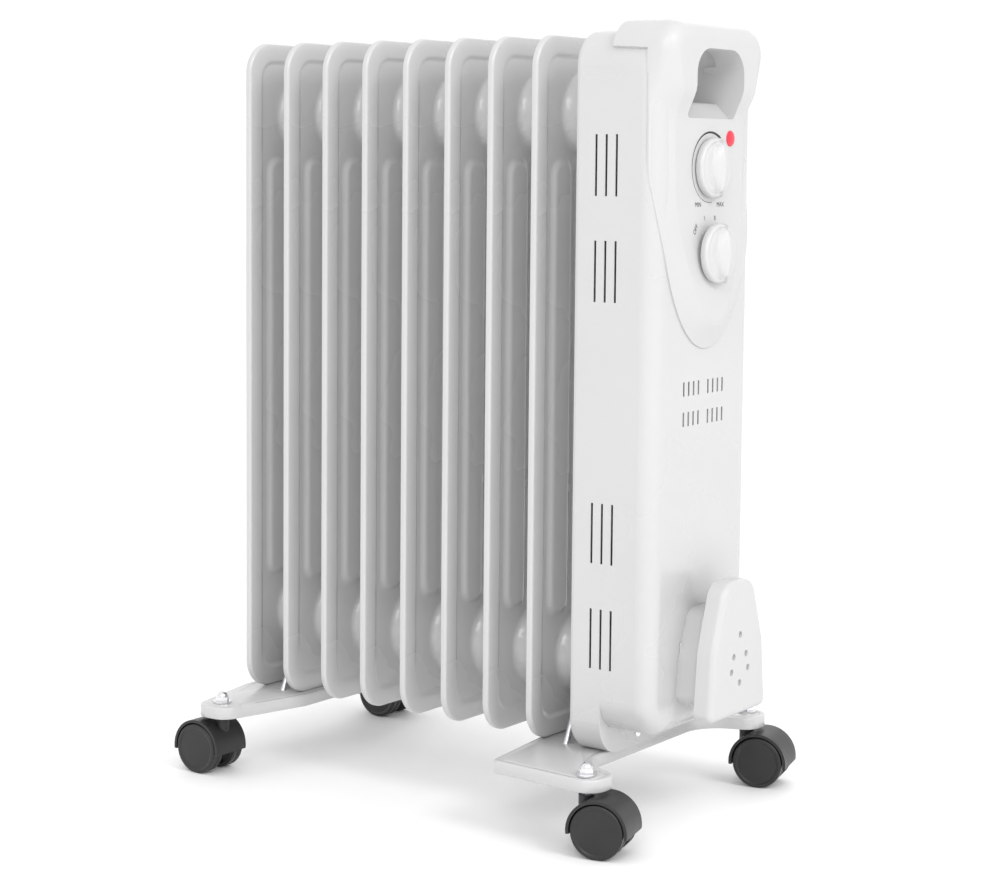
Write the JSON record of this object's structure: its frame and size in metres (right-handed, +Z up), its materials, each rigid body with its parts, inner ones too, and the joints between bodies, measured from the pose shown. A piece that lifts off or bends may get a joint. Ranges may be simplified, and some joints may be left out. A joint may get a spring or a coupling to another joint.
{
  "type": "oil filled radiator heater",
  "caption": "Upright oil filled electric radiator with a row of hollow fins, a covered control end with dials and pull handle, a cord wrap, and two feet on twin-wheel casters.",
  "frame": {"origin": "on the floor, under the middle of the whole heater", "axes": "+Z up, +X along the stack of fins towards the control end, +Y to the side that carries the pilot lens"},
  "size_m": [0.4696, 0.2931, 0.6278],
  "materials": {
    "black_plastic": "satin",
    "chrome": "polished",
    "inner_plastic": "matt",
    "red_lens": "clear red",
    "seal": "matt",
    "steel": "plain",
    "white_enamel": "gloss",
    "white_plastic": "satin",
    "zinc": "bright zinc"
  },
  "bodies": {
    "heater": {"cap_nuts": "chrome", "caster_stems": "zinc", "control_bracket": "zinc", "control_panel": "white_plastic", "cord_gland": "seal", "cord_wrap_cap": "white_plastic", "cord_wrap_core": "white_plastic", "cover_screws": "chrome", "element_flange": "steel", "element_gasket": "seal", "filler_plug": "zinc", "fin_1": "white_enamel", "fin_2": "white_enamel", "fin_3": "white_enamel", "fin_4": "white_enamel", "fin_5": "white_enamel", "fin_6": "white_enamel", "fin_7": "white_enamel", "fin_8": "white_enamel", "fin_9": "white_enamel", "front_foot": "white_enamel", "front_u_bolt": "zinc", "header_caps": "white_enamel", "heating_rods": "steel", "lower_header_collars": "white_enamel", "pilot_lamp": "inner_plastic", "pilot_lens": "red_lens", "rear_foot": "white_enamel", "rear_u_bolt": "zinc", "selector_body": "inner_plastic", "side_cover": "white_enamel", "terminal_block": "inner_plastic", "thermal_cutout": "steel", "thermostat_body": "inner_plastic", "upper_header_collars": "white_enamel", "wing_nuts": "zinc"},
    "thermostat_dial": {"thermostat_knob": "white_plastic", "thermostat_shaft": "steel"},
    "selector_dial": {"selector_knob": "white_plastic", "selector_shaft": "steel"},
    "rear_left_caster": {"rear_left_caster_hood": "black_plastic", "rear_left_caster_axle": "steel"},
    "rear_left_wheel_a": {"rear_left_wheel_a": "black_plastic"},
    "rear_left_wheel_b": {"rear_left_wheel_b": "black_plastic"},
    "rear_right_caster": {"rear_right_caster_hood": "black_plastic", "rear_right_caster_axle": "steel"},
    "rear_right_wheel_a": {"rear_right_wheel_a": "black_plastic"},
    "rear_right_wheel_b": {"rear_right_wheel_b": "black_plastic"},
    "front_left_caster": {"front_left_caster_hood": "black_plastic", "front_left_caster_axle": "steel"},
    "front_left_wheel_a": {"front_left_wheel_a": "black_plastic"},
    "front_left_wheel_b": {"front_left_wheel_b": "black_plastic"},
    "front_right_caster": {"front_right_caster_hood": "black_plastic", "front_right_caster_axle": "steel"},
    "front_right_wheel_a": {"front_right_wheel_a": "black_plastic"},
    "front_right_wheel_b": {"front_right_wheel_b": "black_plastic"}
  },
  "joints": [
    {"name": "thermostat_turn", "type": "hinge", "parent": "heater", "child": "thermostat_dial", "pos_m": [0.201, 0, 0.516], "axis": [1, 0, 0], "range_deg": [-140, 140]},
    {"name": "selector_turn", "type": "hinge", "parent": "heater", "child": "selector_dial", "pos_m": [0.2064, 0, 0.45], "axis": [1, 0, 0], "range_deg": [-45, 45]},
    {"name": "rear_left_swivel", "type": "hinge", "parent": "heater", "child": "rear_left_caster", "pos_m": [-0.1965, -0.123, 0.045], "axis": [0, 0, 1], "continuous": true},
    {"name": "rear_left_roll_a", "type": "hinge", "parent": "rear_left_caster", "child": "rear_left_wheel_a", "pos_m": [-0.2105, -0.123, 0.021], "axis": [0, -1, 0], "continuous": true},
    {"name": "rear_left_roll_b", "type": "hinge", "parent": "rear_left_caster", "child": "rear_left_wheel_b", "pos_m": [-0.2105, -0.123, 0.021], "axis": [0, -1, 0], "continuous": true},
    {"name": "rear_right_swivel", "type": "hinge", "parent": "heater", "child": "rear_right_caster", "pos_m": [-0.1965, 0.123, 0.045], "axis": [0, 0, 1], "continuous": true},
    {"name": "rear_right_roll_a", "type": "hinge", "parent": "rear_right_caster", "child": "rear_right_wheel_a", "pos_m": [-0.2105, 0.123, 0.021], "axis": [0, -1, 0], "continuous": true},
    {"name": "rear_right_roll_b", "type": "hinge", "parent": "rear_right_caster", "child": "rear_right_wheel_b", "pos_m": [-0.2105, 0.123, 0.021], "axis": [0, -1, 0], "continuous": true},
    {"name": "front_left_swivel", "type": "hinge", "parent": "heater", "child": "front_left_caster", "pos_m": [0.1737, -0.123, 0.045], "axis": [0, 0, 1], "continuous": true},
    {"name": "front_left_roll_a", "type": "hinge", "parent": "front_left_caster", "child": "front_left_wheel_a", "pos_m": [0.18728, -0.11961, 0.021], "axis": [-0.2419, 0.9703, 0], "continuous": true},
    {"name": "front_left_roll_b", "type": "hinge", "parent": "front_left_caster", "child": "front_left_wheel_b", "pos_m": [0.18728, -0.11961, 0.021], "axis": [-0.2419, 0.9703, 0], "continuous": true},
    {"name": "front_right_swivel", "type": "hinge", "parent": "heater", "child": "front_right_caster", "pos_m": [0.1737, 0.123, 0.045], "axis": [0, 0, 1], "continuous": true},
    {"name": "front_right_roll_a", "type": "hinge", "parent": "front_right_caster", "child": "front_right_wheel_a", "pos_m": [0.18728, 0.12639, 0.021], "axis": [-0.2419, 0.9703, 0], "continuous": true},
    {"name": "front_right_roll_b", "type": "hinge", "parent": "front_right_caster", "child": "front_right_wheel_b", "pos_m": [0.18728, 0.12639, 0.021], "axis": [-0.2419, 0.9703, 0], "continuous": true}
  ]
}
